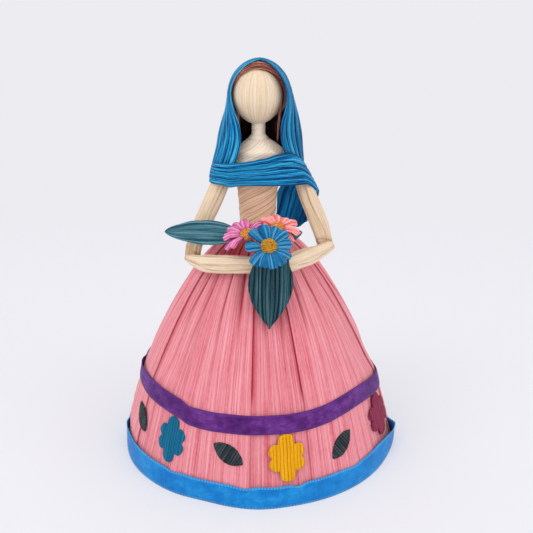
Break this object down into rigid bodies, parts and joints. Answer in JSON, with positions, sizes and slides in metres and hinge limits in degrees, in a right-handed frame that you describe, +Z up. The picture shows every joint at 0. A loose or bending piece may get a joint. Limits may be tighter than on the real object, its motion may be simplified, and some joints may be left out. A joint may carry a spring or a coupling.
{
  "type": "corn-husk doll",
  "caption": "Standing corn-husk doll with a shawl over its head, folded arms holding a bouquet, and a wide bell skirt edged with ribbons and cut-out flowers.",
  "frame": {"origin": "centre of the skirt hem on the floor", "axes": "+Z up, the doll faces -Y, +X to its left hand"},
  "size_m": [0.1471, 0.147, 0.1999],
  "materials": {
    "natural_husk": "dry matte husk with fine long grain",
    "blush_husk": "dry matte husk, faintly pink",
    "pink_husk": "dyed husk with fine upright ribs",
    "blue_husk": "dyed husk with long pleats",
    "navy_husk": "dyed husk with long pleats",
    "sky_husk": "dyed husk strips",
    "magenta_husk": "dyed husk strips",
    "coral_husk": "dyed husk strips",
    "mustard_husk": "dyed husk, crumpled",
    "orange_husk": "dyed husk, crumpled",
    "leaf_husk": "dyed husk with lengthwise veins",
    "slate_husk": "dyed husk with lengthwise veins",
    "yellow_husk": "dyed husk with upright ribs",
    "maroon_husk": "dyed husk with upright ribs",
    "teal_husk": "dyed husk with upright ribs",
    "stem_wrap": "wrapped paper",
    "hair_fibre": "reddish brown plant fibre",
    "dark_hair_fibre": "dark brown plant fibre",
    "purple_ribbon": "woven ribbon",
    "blue_ribbon": "satin ribbon with a stitched edge",
    "thread": "cotton thread",
    "stick_wood": "plain wood",
    "wire_steel": "bare wire",
    "craft_ball": "foam ball"
  },
  "bodies": {
    "root": {"face_husk": "natural_husk", "neck_wrap": "natural_husk", "torso_roll": "natural_husk", "bodice_strap_right": "natural_husk", "bodice_strap_left": "natural_husk", "right_arm": "natural_husk", "left_arm": "natural_husk", "waist_wrap": "blush_husk", "skirt_husk_01": "pink_husk", "skirt_husk_02": "pink_husk", "skirt_husk_03": "pink_husk", "skirt_husk_04": "pink_husk", "skirt_husk_05": "pink_husk", "skirt_husk_06": "pink_husk", "skirt_husk_07": "pink_husk", "skirt_husk_08": "pink_husk", "skirt_husk_09": "pink_husk", "skirt_husk_10": "pink_husk", "skirt_husk_11": "pink_husk", "skirt_husk_12": "pink_husk", "shawl_hood": "blue_husk", "shawl_band": "blue_husk", "shawl_tail": "navy_husk", "blue_flower": "sky_husk", "magenta_flower": "magenta_husk", "coral_flower": "coral_husk", "blue_eye": "mustard_husk", "magenta_eye": "orange_husk", "coral_eye": "orange_husk", "leaf_side": "leaf_husk", "leaf_front": "leaf_husk", "leaf_back": "leaf_husk", "border_leaf_1": "slate_husk", "border_leaf_2": "slate_husk", "border_leaf_3": "slate_husk", "border_leaf_4": "slate_husk", "border_leaf_5": "slate_husk", "border_leaf_6": "slate_husk", "border_leaf_7": "slate_husk", "border_flower_1": "yellow_husk", "border_flower_2": "maroon_husk", "border_flower_3": "teal_husk", "border_flower_4": "yellow_husk", "border_flower_5": "maroon_husk", "border_flower_6": "yellow_husk", "border_flower_7": "teal_husk", "bouquet_stems": "stem_wrap", "hair_cap": "hair_fibre", "hair_fall": "dark_hair_fibre", "border_ribbon": "purple_ribbon", "hem_ribbon": "blue_ribbon", "neck_tie": "thread", "waist_tie": "thread", "stem_tie": "thread", "spine_stick": "stick_wood", "arm_wire": "wire_steel", "head_ball": "craft_ball"}
  },
  "joints": []
}
